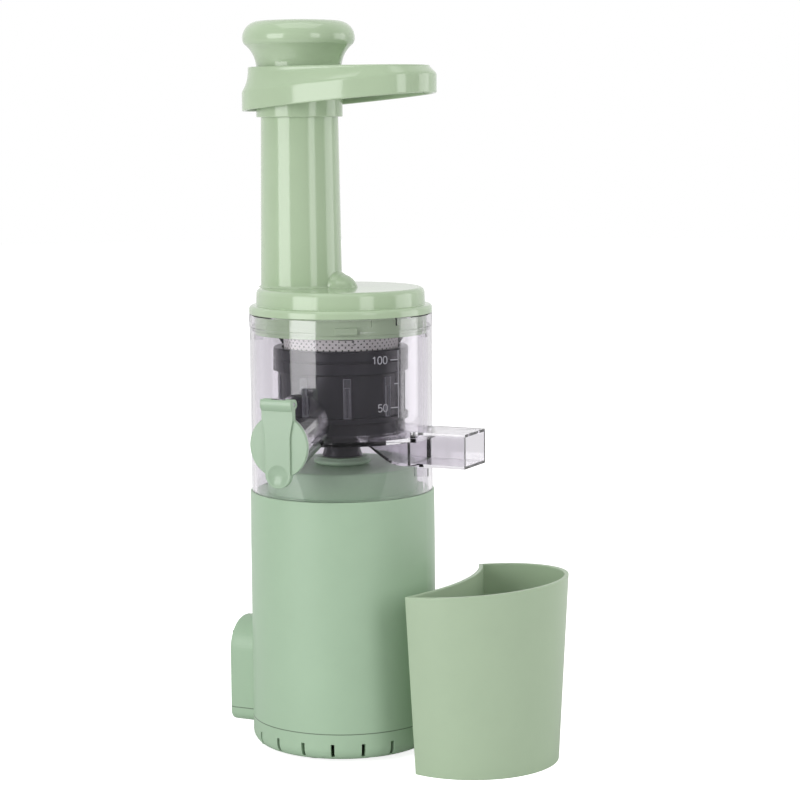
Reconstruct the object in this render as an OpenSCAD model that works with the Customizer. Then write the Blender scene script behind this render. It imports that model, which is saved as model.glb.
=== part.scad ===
// Vertical slow juicer with a clear bowl, a rotating strainer brush and a crescent pulp container.
// Origin on the juicer's vertical axis at the table, +Z up, +X towards the pulp chute, -Y towards the spout.

/* [Base] */
// Radius of the motor housing
base_r = 51.8; // [50:0.1:54]
// Height of the joint between the housing and the bowl
base_top = 145.5; // [144:0.5:150]
// Height of the seam above the bottom cover
seam_z = 17.2; // [16:0.2:19]
// Wall thickness of the housing shells
shell_t = 2.6; // [2:0.1:3]
// Height of the rubber feet under the cover
foot_h = 2; // [1.5:0.1:3]
// Radius of the rubber feet
foot_r = 7; // [5:0.5:8]
// Distance of the feet from the axis
foot_ring = 34; // [30:0.5:35]
// Rounding of the lower edge of the bottom cover
cover_round = 7; // [4:0.5:8]
// Number of vent slots round the bottom cover
vent_n = 19; // [17:1:21]
// Width of a vent slot
vent_w = 2; // [1.5:0.1:2.5]

/* [Bowl seat] */
// Radius of the boss that carries the bowl
boss_r = 42; // [40:0.5:43]
// Height of the boss above the joint
boss_h = 14; // [12:0.5:15]
// Outer radius of the collar round the drive shaft
collar_r = 16; // [14:0.5:17]
// Height of that collar
collar_h = 4.5; // [3.5:0.1:4.5]
// Number of keys that stop the bowl from turning
key_n = 3; // [3:1:5]
// Width of a key
key_w = 2.2; // [1.8:0.1:2.8]

/* [Switch bump] */
// Distance of the bump's flat face from the axis
bump_x = 65; // [63:0.5:68]
// Width of the bump
bump_w = 35; // [33:0.5:37]
// Top of the bump
bump_top = 68; // [66:0.5:72]
// Underside of the bump
bump_low = 9.5; // [8.5:0.5:10.5]
// Height of the rocker's pivot
switch_z = 46; // [45:0.5:47]
// Width of the switch frame's opening
switch_w = 15; // [13:0.5:16]
// Height of the switch frame's opening
switch_h = 22; // [20:0.5:23]
// Height of the cord gland
gland_z = 24.5; // [24:0.1:25]
// Radius of the cord gland's flange
gland_r = 4.2; // [3.8:0.1:4.6]

/* [Gear train] */
// Teeth of both pinions
pinion_n = 11; // [11:1:12]
// Teeth of the first gear
first_n = 55; // [50:1:56]
// Teeth of the output gear
output_n = 66; // [60:1:67]
// Module of the first stage
first_m = 0.58; // [0.5:0.01:0.6]
// Module of the second stage
second_m = 0.72; // [0.65:0.01:0.75]
// Play between the flanks of two teeth
tooth_play = 0.12; // [0.08:0.01:0.2]
// Radius of the drive shaft
drive_r = 6; // [5.5:0.1:6.2]
// Width across the flats of the hexagonal drive
hex_w = 10; // [9:0.1:10]
// Radius of the intermediate gear's pin
lay_pin_r = 2; // [1.6:0.1:2.2]

/* [Motor] */
// Outer radius of the motor can
motor_r = 24; // [22:0.5:25]
// Length of the motor can
motor_l = 59; // [56:1:60]
// Radius of the motor shaft
motor_shaft_r = 2.5; // [2:0.1:2.6]
// Radius of the armature
armature_r = 15.5; // [14:0.5:16]
// Number of slots in the armature
armature_n = 12; // [8:1:14]

/* [Bowl] */
// Outer radius of the bowl
bowl_r = 50.7; // [50.2:0.1:51]
// Wall thickness of the bowl
bowl_t = 2.4; // [2:0.1:2.6]
// Height of the bowl's rim above its floor
rim_z = 66.4; // [65:0.2:68]
// Height of the thicker band under the rim
rim_band = 7.3; // [6.5:0.1:8]
// Height of the bowl's floor above the base's boss
floor_z = 18.5; // [18:0.1:18.7]
// Distance of the spout's end from the axis
spout_y = 72; // [68:0.5:74]
// Height of the centre of the spout's end above the bowl's floor
spout_z = 1; // [0:0.1:2]
// Outer radius of the spout
spout_r = 16.2; // [15:0.1:16.8]
// Slope of the spout
spout_tilt = 20; // [15:1:22]
// Distance of the chute's end from the axis
chute_x = 81; // [76:0.5:86]
// Outer half width of the chute
chute_w = 14.2; // [13:0.1:15]
// Depth of the chute's underside below the bowl's floor
chute_low = 15.5; // [14.5:0.1:15.8]
// Height of the chute's top above the bowl's floor
chute_top = 3.5; // [2:0.1:6]

/* [Strainer and brush] */
// Radius of the strainer mesh at its foot
mesh_r1 = 29.6; // [29.2:0.1:29.8]
// Radius of the strainer mesh at its top
mesh_r2 = 31.6; // [31:0.1:32]
// Thickness of the mesh
mesh_t = 0.5; // [0.4:0.1:0.6]
// Number of upright ribs of the strainer
rib_n = 12; // [8:1:14]
// Outer radius of the brush holder's wall
brush_r = 35.2; // [35:0.1:35.4]
// Outer radius of the brush holder's upper ring
brush_ring_r = 37.6; // [37:0.1:39]
// Height of the brush holder's top above the bowl's floor
brush_top = 48; // [46:0.5:50]
// Number of wipers
wiper_n = 9; // [6:1:9]
// Width of a wiper
wiper_w = 4.3; // [3.5:0.1:5]
// Module of the brush drive
brush_m = 1.5; // [1.45:0.01:1.5]
// Play between the flanks of the brush drive's teeth
brush_play = 0.3; // [0.25:0.01:0.4]
// Teeth of the auger's gear
auger_n = 16; // [16:2:16]
// Teeth of the idler gear
idler_n = 12; // [12:2:12]

/* [Auger] */
// Outer radius of the auger's flight
auger_r = 27.4; // [25:0.1:27.6]
// Turns of the flight
auger_turns = 2.25; // [1.5:0.25:3]
// Radius of the auger's top pin
top_pin_r = 3; // [2.6:0.1:3]

/* [Lid and feed tube] */
// Radius of the lid's upper disc
lid_r = 46.8; // [46:0.1:47.5]
// Height of the lid's top above the bowl's rim
lid_top = 14.1; // [13:0.1:15]
// Depth of the lid's skirt inside the bowl
skirt_d = 10.8; // [10:0.1:11]
// Distance of the feed tube from the axis
tube_x = 24.3; // [24:0.1:25]
// Outer radius of the feed tube at the lid
tube_r1 = 22.8; // [22.5:0.1:23.5]
// Outer radius of the feed tube at its top
tube_r2 = 21.4; // [21:0.1:21.8]
// Height of the feed tube above the lid
tube_top = 102; // [98:0.5:104]
// Bore of the feed tube
tube_bore = 18.6; // [18:0.1:18.8]
// Number of bayonet lugs
lug_n = 3; // [3:1:4]

/* [Tray and pusher] */
// Reach of the tray's ends beyond the feed tube's axis
tray_r = 32.4; // [31.5:0.1:34]
// Half width of the tray's band
tray_w = 34; // [33:0.5:36]
// Radius of the tray's ends
tray_end = 28; // [26:0.5:30]
// Height of the tray's rim above the feed tube
tray_top = 19.5; // [18:0.5:21]
// Slope of the tray's band
tray_tilt = 4.9; // [4:0.1:5.5]
// Height of the tray's band
tray_band = 10.6; // [9:0.1:12]
// Wall thickness of the tray
tray_t = 2.2; // [1.8:0.1:2.6]
// Radius of the pusher's neck
neck_r = 23.7; // [23:0.1:24]
// Radius of the pusher's knob
knob_r = 31.2; // [30.5:0.1:32]
// Height of the knob's top above the tray's rim
knob_top = 25.5; // [24:0.5:28]

/* [Juice flap] */
// Radius of the flap's disc
flap_r = 17; // [16.8:0.1:17.5]
// Thickness of the flap's disc
flap_t = 2.2; // [1.8:0.1:2.6]
// Width of the flap's strap
strap_w = 15; // [13:0.5:16]
// Length of the strap below the hinge
strap_l = 45; // [42:0.5:47]
// Radius of the hinge pin
flap_pin_r = 1.3; // [1.1:0.1:1.4]

/* [Pulp container] */
// Centre of the container's outer arc
cont_x = 79; // [78:0.5:84]
// Radius of the outer arc at the floor
cont_r1 = 47.8; // [47:0.1:49]
// Radius of the outer arc at the rim
cont_r2 = 52.8; // [52:0.1:54]
// Distance of the concave side from the axis
cont_gap = 73; // [72.5:0.5:76]
// Radius of the concave side
cont_concave_r = 112; // [100:1:120]
// Height of the rim in the middle
cont_h = 98.5; // [94:0.5:102]
// Slope of the rim
cont_slope = 4.5; // [3:0.1:5]
// Wall thickness of the container
cont_t = 2.4; // [2:0.1:3]

/* [Fits] */
// Radial play of a running fit
run_gap = 0.06; // [0.04:0.01:0.08]
// Play of a part that slides or lifts off
slide_gap = 0.3; // [0.25:0.05:0.35]

/* [Hidden] */
$fn = 96;
eps = 0.01;

sage = "#a9c6a6";
sage_light = "#b5dcb5";
charcoal = "#3c3c46";
clear = [0.86, 0.85, 0.90, 0.35];
steel = "#b9b9bd";
brass = "#b88f4a";

// Heights of the drive, from the motor up to the auger
boss_top = base_top + boss_h;
ceiling_z = base_top - shell_t;
motor_z1 = 86;
motor_z0 = motor_z1 - motor_l;
case_floor = 3;
gear1_z = motor_z1 + case_floor + 2;
gear1_h = 6;
gear2_z = gear1_z + gear1_h + 2;
gear2_h = 7.5;
case_top = gear2_z + gear2_h + 1.5;
cover_t = 3;
bearing_r = 12;
bearing_h = 6;
bearing_z = case_top + cover_t;
collar_z = boss_top;
bowl_floor = boss_top + floor_z;
bowl_top = bowl_floor + rim_z;
spout_axis = bowl_floor + spout_z;
chute_under = bowl_floor - chute_low;
chute_over = bowl_floor + chute_top;
brush_end = bowl_floor + brush_top;
lid_face = bowl_top + lid_top;
tube_end = lid_face + tube_top;
tray_rim = tube_end + tray_top;
knob_end = tray_rim + knob_top;
hex_z0 = boss_top + 0.5;
hex_top = bowl_floor + 5.5;
lay_x = (pinion_n + output_n) / 2 * second_m;
motor_x = lay_x - (pinion_n + first_n) / 2 * first_m;
case_r1 = output_n / 2 * second_m + 3.4;
case_r2 = first_n / 2 * first_m + 3;
case_t = 1.8;
ear_r = 36;
ear_angles = [80, 180, 280];
case_screws = [[-14, 24.6], [-14, -24.6], [lay_x + 2, case_r2 + 1.6], [lay_x + 2, -case_r2 - 1.6]];
motor_screw_y = 16;
post_ring = base_r - shell_t - 4;
post_angles = [45, 135, 225, 315];
post_z = seam_z + 3;
hex_r = hex_w / 2 / cos(30);

// Bowl
bowl_in = bowl_r - bowl_t;
floor_t = 2.5;
key_in = boss_r - 1;
key_angle = 8;
key_h = 4.5;
key_z = boss_top - 1 - key_h;
strainer_z = bowl_floor + 7;
strainer_t = 2.5;
flange_z = bowl_top - 11.2;
flange_t = 2;
flange_r = bowl_in - 3.5;
gear_z = bowl_floor + 1.4;
gear_h = 4.5;
ring_n = auger_n + 2 * idler_n;
idler_x = -(auger_n + idler_n) / 2 * brush_m;
port_x0 = auger_n / 2 * brush_m + 2.8;
port_x1 = port_x0 + 10.7;
port_w = 8;
port_t = 1.2;
stem_r = 7.5;
hinge_z = spout_axis + flap_r + 5.5;
hinge_y = -spout_y - 1.5;
seal_t = 0.9;

// Points on an arc
function arc(cx, cy, r, a0, a1, n = 8) =
    [for (i = [0 : n]) [cx + r * cos(a0 + (a1 - a0) * i / n), cy + r * sin(a0 + (a1 - a0) * i / n)]];

// Involute gear outline: stub teeth with a pressure angle of 25 degrees
pressure = 25;
addendum = 0.8;
dedendum = 1.05;
function involute(a) = tan(a) * 180 / PI - a;
function half_tooth(r, n, m, play) =
    90 / n - play / 2 / (n * m / 2) * 180 / PI + involute(pressure)
    - involute(acos(min(1, n * m / 2 * cos(pressure) / r)));
function flank(n, m, play, low, high) =
    let (base = n * m / 2 * cos(pressure), from = max(base, low))
    [for (i = [0 : 4]) let (r = from + (high - from) * i / 4) [r, half_tooth(r, n, m, play)]];
function gear_outline(n, m, play, up, down, phase) =
    let (low = n * m / 2 - down * m, high = n * m / 2 + up * m, side = flank(n, m, play, low, high))
    [for (k = [0 : n - 1]) let (c = phase + 360 * k / n)
        for (p = concat(
            [[low, -side[0][1]]],
            [for (s = side) [s[0], -s[1]]],
            [for (i = [len(side) - 1 : -1 : 0]) [side[i][0], side[i][1]]],
            [[low, side[0][1]]]))
        [p[0] * cos(c + p[1]), p[0] * sin(c + p[1])]];

module gear(n, m, h, phase = 0, play = tooth_play) {
    linear_extrude(h) polygon(gear_outline(n, m, play, addendum, dedendum, phase));
}

// Tooth spaces of an internal gear, to be cut out of a ring
module ring_cutter(n, m, h, phase, play) {
    linear_extrude(h) polygon(gear_outline(n, m, -play, dedendum, addendum, phase));
}

module pipe(r1, r0, h) {
    difference() {
        cylinder(h = h, r = r1);
        translate([0, 0, -1]) cylinder(h = h + 2, r = r0);
    }
}

module around(angles, ring) {
    for (a = angles) rotate([0, 0, a]) translate([ring, 0, 0]) children();
}

// A screw that points up from its head, with a cross recess in the head
module screw(r, length, head_r, head_h) {
    difference() {
        union() {
            cylinder(h = head_h, r = head_r, $fn = 32);
            translate([0, 0, head_h - eps]) cylinder(h = length + eps, r = r, $fn = 32);
        }
        for (a = [0, 90]) rotate([0, 0, a])
            translate([-head_r * 0.6, -head_r * 0.12, -1])
                cube([head_r * 1.2, head_r * 0.24, 1 + head_h * 0.5]);
    }
}

// Outline of the switch bump seen along X, drawn with Z as the second axis
module bump_outline(inset) {
    w = bump_w / 2 - inset;
    z0 = bump_low + inset;
    zc = bump_top - bump_w / 2;
    corner = max(5 - inset, 1);
    polygon(concat(
        arc(-w + corner, z0 + corner, corner, 180, 270, 6),
        arc(w - corner, z0 + corner, corner, 270, 360, 6),
        arc(0, zc, w, 0, 180, 32)));
}

module bump(inset) {
    length = bump_x - inset;
    round = 3;
    steps = 5;
    rotate([90, 0, -90]) mirror([1, 0, 0]) {
        linear_extrude(length - round) bump_outline(inset);
        for (i = [1 : steps]) let (a = 90 * (i - 0.5) / steps)
            translate([0, 0, length - round]) linear_extrude(round * sin(90 * i / steps))
                bump_outline(inset + round * (1 - cos(a)));
    }
}

module around_keys() {
    for (k = [0 : key_n - 1]) rotate([0, 0, key_angle + k * 360 / key_n]) children();
}

module upper_housing() {
    wall_in = base_r - shell_t;
    color(sage) difference() {
        union() {
            rotate_extrude() polygon(concat(
                [[0, seam_z], [base_r, seam_z], [base_r - 0.1, base_top - 30]],
                arc(base_r - 0.9, base_top - 0.6, 0.6, 0, 90, 4),
                [[boss_r, base_top]],
                arc(boss_r - 1.5, boss_top - 1.5, 1.5, 0, 90, 5),
                [[0, boss_top]]));
            intersection() {
                bump(0);
                translate([-bump_x - 1, -bump_w, seam_z]) cube([bump_x, 2 * bump_w, bump_top]);
            }
        }
        difference() {
            union() {
                translate([0, 0, seam_z - 1]) cylinder(h = ceiling_z - seam_z + 1, r = wall_in);
                translate([0, 0, ceiling_z - 1])
                    cylinder(h = boss_top - shell_t - ceiling_z + 1, r = boss_r - shell_t - 1);
                intersection() {
                    bump(shell_t);
                    translate([-bump_x, -bump_w, seam_z - 1]) cube([bump_x, 2 * bump_w, bump_top]);
                }
            }
            // Posts for the bottom cover's screws
            around(post_angles, post_ring) translate([0, 0, post_z]) cylinder(h = 30, r = 4.2, $fn = 48);
            // Posts that carry the gearbox
            around(ear_angles, ear_r)
                translate([0, 0, case_top + cover_t]) cylinder(h = boss_top - case_top, r = 5, $fn = 48);
            // Tower round the drive shaft, with the seal's seat
            translate([0, 0, boss_top - 16]) cylinder(h = 20, r = 12);
            // Rails that hold the control board
            difference() {
                for (s = [-1, 1]) translate([-wall_in, s * 17 - 2, board_z]) cube([wall_in - 36, 4, board_h]);
                translate([-board_x - 0.05, -board_w / 2 - 0.05, board_z - 1])
                    cube([board_t + 0.1, board_w + 0.1, 60]);
            }
        }
        around(post_angles, post_ring)
            translate([0, 0, post_z - 1]) cylinder(h = 16, r = 1.5, $fn = 32);
        around(ear_angles, ear_r)
            translate([0, 0, case_top + cover_t - 1]) cylinder(h = 16, r = 1.5, $fn = 32);
        translate([0, 0, boss_top - 20]) cylinder(h = 30, r = drive_r + 0.6);
        translate([0, 0, boss_top - 6]) cylinder(h = 10, r = seal_r);
        // Notches for the bowl's keys, open at the top
        around_keys() translate([key_in - slide_gap, -key_w / 2 - slide_gap, key_z - slide_gap - 0.2])
            cube([bowl_in - key_in, key_w + 2 * slide_gap, boss_top - key_z + 1]);
        translate([-bump_x - 1, -switch_w / 2 - 1.5, switch_z - switch_h / 2 - 1.5])
            cube([shell_t + 2, switch_w + 3, switch_h + 3]);
        translate([-bump_x - 1, 0, gland_z]) rotate([0, 90, 0])
            cylinder(h = shell_t + 2, r = gland_r - 1, $fn = 48);
    }
}
board_t = 1.6;
board_x = 40;
board_z = 26;
board_w = 36;
board_h = 40;
seal_r = 9;

module bottom_cover() {
    cover_in = base_r - shell_t;
    floor_top = foot_h + shell_t;
    color(sage) difference() {
        union() {
            difference() {
                union() {
                    rotate_extrude() polygon(concat(
                        [[0, foot_h]],
                        arc(base_r - cover_round, foot_h + cover_round, cover_round, 270, 360, 10),
                        [[base_r, seam_z], [0, seam_z]]));
                    intersection() {
                        bump(0);
                        translate([-bump_x - 1, -bump_w, 0]) cube([bump_x, 2 * bump_w, seam_z]);
                    }
                }
                rotate_extrude() polygon(concat(
                    [[0, floor_top]],
                    arc(cover_in - cover_round + 1, floor_top + cover_round - 1, cover_round - 1,
                        270, 360, 10),
                    [[cover_in, seam_z + 1], [0, seam_z + 1]]));
                intersection() {
                    bump(shell_t);
                    translate([-bump_x, -bump_w, 0]) cube([bump_x, 2 * bump_w, seam_z + 1]);
                }
            }
            // Lip that centres the cover in the housing
            difference() {
                translate([0, 0, floor_top - eps]) cylinder(h = post_z - floor_top, r = cover_in - 0.1);
                translate([0, 0, -1]) cylinder(h = 60, r = cover_in - 1.9);
                translate([-base_r - 1, -bump_w / 2 + 1, -1]) cube([20, bump_w - 2, 60]);
            }
            around(post_angles, post_ring)
                translate([0, 0, foot_h + 1]) cylinder(h = post_z - foot_h - 1, r = 3.9, $fn = 48);
        }
        around(post_angles, post_ring) {
            translate([0, 0, -1]) cylinder(h = 40, r = 1.8, $fn = 32);
            translate([0, 0, -1]) cylinder(h = foot_h + 5, r = 3, $fn = 32);
        }
        foot_places() translate([0, 0, foot_h - 1]) cylinder(h = 2, r = foot_r, $fn = 64);
        for (k = [0 : vent_n - 1]) let (a = -90 + k * 360 / vent_n, turn = (a + 360) % 360)
            if (abs(turn - 180) > 24 && min([for (p = post_angles) abs(turn - p)]) > 5) rotate([0, 0, a])
                translate([base_r - 9, -vent_w / 2, foot_h + 2.2]) cube([12, vent_w, 7.4]);
        // Air grille in the floor under the motor
        for (s = [-1, 1], i = [0 : 2]) translate([-14, s * (12 + i * 5) - 1, -1])
            cube([28, 2, foot_h + shell_t + 2]);
    }
}

module foot_places() {
    children();
    around([0, 90, 180, 270], foot_ring) children();
}

module rubber_feet() {
    color("#55585a") foot_places() difference() {
        rotate_extrude($fn = 64) polygon(concat(
            [[0, 0], [foot_r - 1.2, 0]], arc(foot_r - 1.2, 0.8, 0.8, 270, 360, 4),
            [[foot_r - 0.1, foot_h + 1], [0, foot_h + 1]]));
        translate([0, 0, -1]) pipe(foot_r - 2.4, foot_r - 3.4, 1.5);
    }
}

module cover_screws() {
    color(steel) around(post_angles, post_ring)
        translate([0, 0, foot_h + 2]) screw(1.45, 22, 2.8, 2);
}

module drive_collar() {
    color(sage) translate([0, 0, collar_z]) rotate_extrude() polygon(concat(
        [[drive_r + 0.5, 0], [collar_r - 4, 0], [collar_r - 4, 0.8]],
        arc(collar_r - 1.4, 2.2, 1.4, -90, 90, 8),
        [[collar_r - 2.4, collar_h], [drive_r + 0.5, collar_h]]));
}

module drive_seal() {
    color("#2b2b2d") translate([0, 0, boss_top - 6]) rotate_extrude() polygon([
        [drive_r + run_gap, 0.6], [seal_r, 0], [seal_r, 5.9], [drive_r + 2.2, 5.9],
        [drive_r + 1.4, 3.4], [drive_r + run_gap, 3]]);
}

module case_outline(inset) {
    circle(r = case_r1 - inset);
    translate([lay_x, 0]) circle(r = case_r2 - inset);
}

module gearbox_case() {
    color("#d9d9d6") difference() {
        union() {
            translate([0, 0, motor_z1]) linear_extrude(case_top - motor_z1) case_outline(0);
            for (p = case_screws) translate([p[0], p[1], motor_z1 + 6])
                cylinder(h = case_top - motor_z1 - 6, r = 3.3, $fn = 48);
        }
        translate([0, 0, motor_z1 + case_floor]) linear_extrude(60) case_outline(case_t);
        translate([motor_x, 0, motor_z1 - 1]) cylinder(h = 10, r = 6, $fn = 48);
        for (s = [-1, 1]) translate([motor_x, s * motor_screw_y, motor_z1 - 1])
            cylinder(h = 8, r = 1.6, $fn = 32);
        translate([lay_x, 0, motor_z1 + 0.5]) cylinder(h = 10, r = lay_pin_r, $fn = 48);
        for (p = case_screws) translate([p[0], p[1], motor_z1]) cylinder(h = 60, r = 1.2, $fn = 32);
    }
}

module gearbox_cover() {
    color("#d9d9d6") difference() {
        union() {
            translate([0, 0, case_top]) linear_extrude(cover_t) {
                case_outline(0);
                for (p = case_screws) translate(p) circle(r = 3.3);
                around(ear_angles, ear_r) circle(r = 5.4);
                for (a = ear_angles) rotate([0, 0, a]) translate([0, -5.4]) square([ear_r, 10.8]);
            }
            translate([0, 0, case_top]) cylinder(h = cover_t + bearing_h + 0.8, r = bearing_r + 2.2);
        }
        translate([0, 0, bearing_z]) cylinder(h = bearing_h + 2, r = bearing_r);
        translate([0, 0, case_top - 1]) cylinder(h = 10, r = bearing_r - 2.4);
        around(ear_angles, ear_r) translate([0, 0, case_top - 1]) cylinder(h = 8, r = 1.9, $fn = 32);
        for (p = case_screws) translate([p[0], p[1], case_top - 1]) cylinder(h = 8, r = 1.5, $fn = 32);
        translate([lay_x, 0, case_top - 1]) cylinder(h = cover_t, r = lay_pin_r, $fn = 48);
    }
}

module gearbox_screws() {
    color(steel) for (p = case_screws) translate([p[0], p[1], case_top + cover_t + 1.6])
        mirror([0, 0, 1]) screw(1.15, 10, 2.5, 1.6);
}

module mount_screws() {
    color(steel) around(ear_angles, ear_r)
        translate([0, 0, case_top - 2.2]) screw(1.45, 15, 3.2, 2.2);
}

module motor_screws() {
    color(steel) for (s = [-1, 1]) translate([motor_x, s * motor_screw_y, motor_z1 + case_floor + 1.2])
        mirror([0, 0, 1]) screw(1.4, 5, 2.6, 1.2);
}

module layshaft_pin() {
    color(steel) translate([lay_x, 0, motor_z1 + 0.5])
        cylinder(h = case_top + cover_t - 1 - motor_z1 - 0.5, r = lay_pin_r - 0.02, $fn = 48);
}

module output_bearing() {
    color(steel) translate([0, 0, bearing_z]) difference() {
        cylinder(h = bearing_h, r = bearing_r - 0.02);
        translate([0, 0, -1]) cylinder(h = 10, r = drive_r + 0.02);
        for (z = [-1, bearing_h - 0.5]) translate([0, 0, z]) pipe(bearing_r - 1.4, drive_r + 1.4, 1.5);
    }
}

module motor_can() {
    color(steel) translate([motor_x, 0, motor_z0]) difference() {
        cylinder(h = motor_l, r = motor_r);
        translate([0, 0, -1]) cylinder(h = motor_l - 0.6, r = motor_r - 1.6);
        cylinder(h = motor_l + 1, r = 5, $fn = 64);
        for (s = [-1, 1]) translate([0, s * motor_screw_y, motor_l - 8]) cylinder(h = 10, r = 1.4, $fn = 32);
        for (a = [0 : 60 : 300]) rotate([0, 0, a + 30])
            translate([motor_r - 4, -3, motor_l - 12]) cube([8, 6, 5]);
    }
}

module motor_cap() {
    color("#303236") translate([motor_x, 0, motor_z0 - 3]) difference() {
        union() {
            cylinder(h = 3, r = motor_r);
            cylinder(h = 5, r = motor_r - 1.7);
            for (s = [-1, 1]) translate([s * 11.5 - 4, -4, 0]) cube([8, 8, 11]);
        }
        translate([0, 0, -1]) cylinder(h = 20, r = 5, $fn = 64);
        translate([0, 0, 3]) cylinder(h = 20, r = commutator_r + 0.5, $fn = 64);
        for (s = [-1, 1]) translate([s * 11.5 - 5, -carbon_w / 2, 6]) cube([10, carbon_w, 4]);
    }
}
commutator_r = 7;
carbon_w = 5;

module motor_magnets() {
    color("#4a4a4c") translate([motor_x, 0, motor_z0 + 12]) difference() {
        pipe(motor_r - 1.62, armature_r + 1, 38);
        for (a = [0, 90]) rotate([0, 0, a]) translate([-30, -3, -1]) cube([60, 6, 50]);
    }
}

module motor_bearings() {
    color(brass) translate([motor_x, 0, 0]) for (z = [motor_z0 - 3, motor_z1 - 1.6])
        translate([0, 0, z]) pipe(4.98, motor_shaft_r + run_gap, z < motor_z1 - 5 ? 4 : 2.6);
}

module motor_carbons() {
    color("#1f1f21") for (s = [-1, 1])
        translate([
            motor_x + s * (commutator_r + slide_gap + 3.6) - 3.6, -carbon_w / 2 + 0.05, motor_z0 + 3.05])
            cube([7.2, carbon_w - 0.1, 3.9]);
}

module control_board() {
    color("#3b6b4a") translate([-board_x, -board_w / 2, board_z]) {
        cube([board_t, board_w, board_h]);
        translate([board_t - eps, 6, 24]) cube([12, 10, 10]);
        translate([board_t - eps, 21, 5]) cube([9, 11, 16]);
        for (y = [7, 15]) translate([board_t - eps, y, 12]) rotate([0, 90, 0])
            cylinder(h = 13, r = 3.4, $fn = 32);
        translate([board_t - eps, 21, 27]) cube([2, 6, 6]);
    }
}

module switch_frame() {
    depth = 14;
    color("#2d2f31") translate([-bump_x, 0, switch_z]) difference() {
        union() {
            translate([-1.4, -switch_w / 2 - 3, -switch_h / 2 - 3]) cube([1.4, switch_w + 6, switch_h + 6]);
            translate([-eps, -switch_w / 2 - 1.4, -switch_h / 2 - 1.4])
                cube([depth, switch_w + 2.8, switch_h + 2.8]);
        }
        translate([-5, -switch_w / 2, -switch_h / 2]) cube([depth + 3, switch_w, switch_h]);
        translate([rocker_x, 0, 0]) rotate([90, 0, 0])
            cylinder(h = switch_w + 10, r = 1.5 + run_gap, center = true, $fn = 48);
    }
}
rocker_x = 4;

module rocker_switch() {
    half = switch_h / 2 - 1.3;
    color("#1d1f20") translate([-bump_x + rocker_x, 0, switch_z]) {
        rotate([90, 0, 0]) translate([0, 0, -switch_w / 2 + 0.3]) linear_extrude(switch_w - 0.6) polygon([
            [-3.4, -half + 0.6], [-6.6, -half], [-4.7, 0], [-6.6, half], [-3.4, half - 0.6],
            [2.4, 3], [2.4, -3]]);
        rotate([90, 0, 0]) cylinder(h = switch_w + 2.4, r = 1.5, center = true, $fn = 48);
    }
}

module cord_gland() {
    color("#2a2b2c") translate([-bump_x, 0, gland_z]) rotate([0, 90, 0]) difference() {
        union() {
            translate([0, 0, -2]) cylinder(h = 2, r = gland_r, $fn = 48);
            translate([0, 0, -eps]) cylinder(h = shell_t + 3, r = gland_r - 1.02, $fn = 48);
        }
        translate([0, 0, -3]) cylinder(h = 20, r = gland_r - 2, $fn = 48);
    }
}

module motor_shaft() {
    step_z = gear1_z - 0.6;
    color(steel) translate([motor_x, 0, 0]) {
        translate([0, 0, motor_z0 - 4]) cylinder(h = step_z - motor_z0 + 4, r = motor_shaft_r, $fn = 48);
        translate([0, 0, step_z - eps]) cylinder(h = gear1_h + 1, r = pinion_bore - 0.01, $fn = 48);
    }
}

module armature() {
    z0 = motor_z0 + 13;
    color("#8d6a45") translate([motor_x, 0, z0]) difference() {
        union() {
            cylinder(h = 36, r = armature_r);
            translate([0, 0, -4]) cylinder(h = 44, r1 = armature_r - 3.5, r2 = armature_r - 3.5);
        }
        for (k = [0 : armature_n - 1]) rotate([0, 0, k * 360 / armature_n])
            translate([armature_r - 1.6, -0.9, -1]) cube([4, 1.8, 38]);
        translate([0, 0, -10]) cylinder(h = 80, r = motor_shaft_r + 0.01, $fn = 48);
    }
}

module commutator() {
    color("#b87342") translate([motor_x, 0, motor_z0 + 2]) difference() {
        cylinder(h = 6.5, r = commutator_r, $fn = 64);
        for (k = [0 : armature_n - 1]) rotate([0, 0, (k + 0.5) * 360 / armature_n])
            translate([commutator_r - 0.8, -0.2, 1]) cube([2, 0.4, 8]);
        translate([0, 0, -10]) cylinder(h = 80, r = motor_shaft_r + 0.01, $fn = 48);
    }
}

module motor_pinion() {
    color(brass) translate([motor_x, 0, gear1_z]) difference() {
        gear(pinion_n, first_m, gear1_h, 0);
        translate([0, 0, -1]) cylinder(h = 20, r = pinion_bore, $fn = 48);
    }
}
pinion_bore = 1.5;

module first_gear() {
    color("#e8e3d2") translate([lay_x, 0, 0]) difference() {
        union() {
            translate([0, 0, gear1_z]) gear(first_n, first_m, gear1_h - 1, 180 + 180 / first_n);
            translate([0, 0, gear1_z + gear1_h - 1 - eps])
                gear(pinion_n, second_m, gear2_z + gear2_h - gear1_z - gear1_h + 1, 180 + 180 / pinion_n);
        }
        translate([0, 0, gear1_z - 1]) cylinder(h = 40, r = lay_bore, $fn = 48);
    }
}
lay_bore = lay_pin_r + run_gap;

module output_gear() {
    rim = output_n / 2 * second_m - 3;
    color("#e8e3d2") translate([0, 0, gear2_z]) difference() {
        gear(output_n, second_m, gear2_h, 0);
        for (z = [-1, gear2_h - 1.6]) translate([0, 0, z]) pipe(rim, drive_r + 4, 2.6);
        translate([0, 0, -1]) cylinder(h = 20, r = drive_r + 0.01, $fn = 64);
    }
}

module drive_shaft() {
    color(steel) {
        translate([0, 0, gear2_z]) cylinder(h = hex_z0 - gear2_z, r = drive_r, $fn = 64);
        translate([0, 0, hex_z0 - eps]) cylinder(h = hex_top - hex_z0 - 1, r = hex_r, $fn = 6);
        translate([0, 0, hex_top - 1 - 2 * eps]) cylinder(h = 1, r = hex_r - 0.6, $fn = 6);
    }
}

// A ring sector with a polygon as its section, centred on an angle
module sector(angle, width) {
    rotate([0, 0, angle - width / 2]) rotate_extrude(angle = width) children();
}

module box_section(r0, r1, z0, z1) {
    translate([r0, z0]) square([r1 - r0, z1 - z0]);
}

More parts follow.
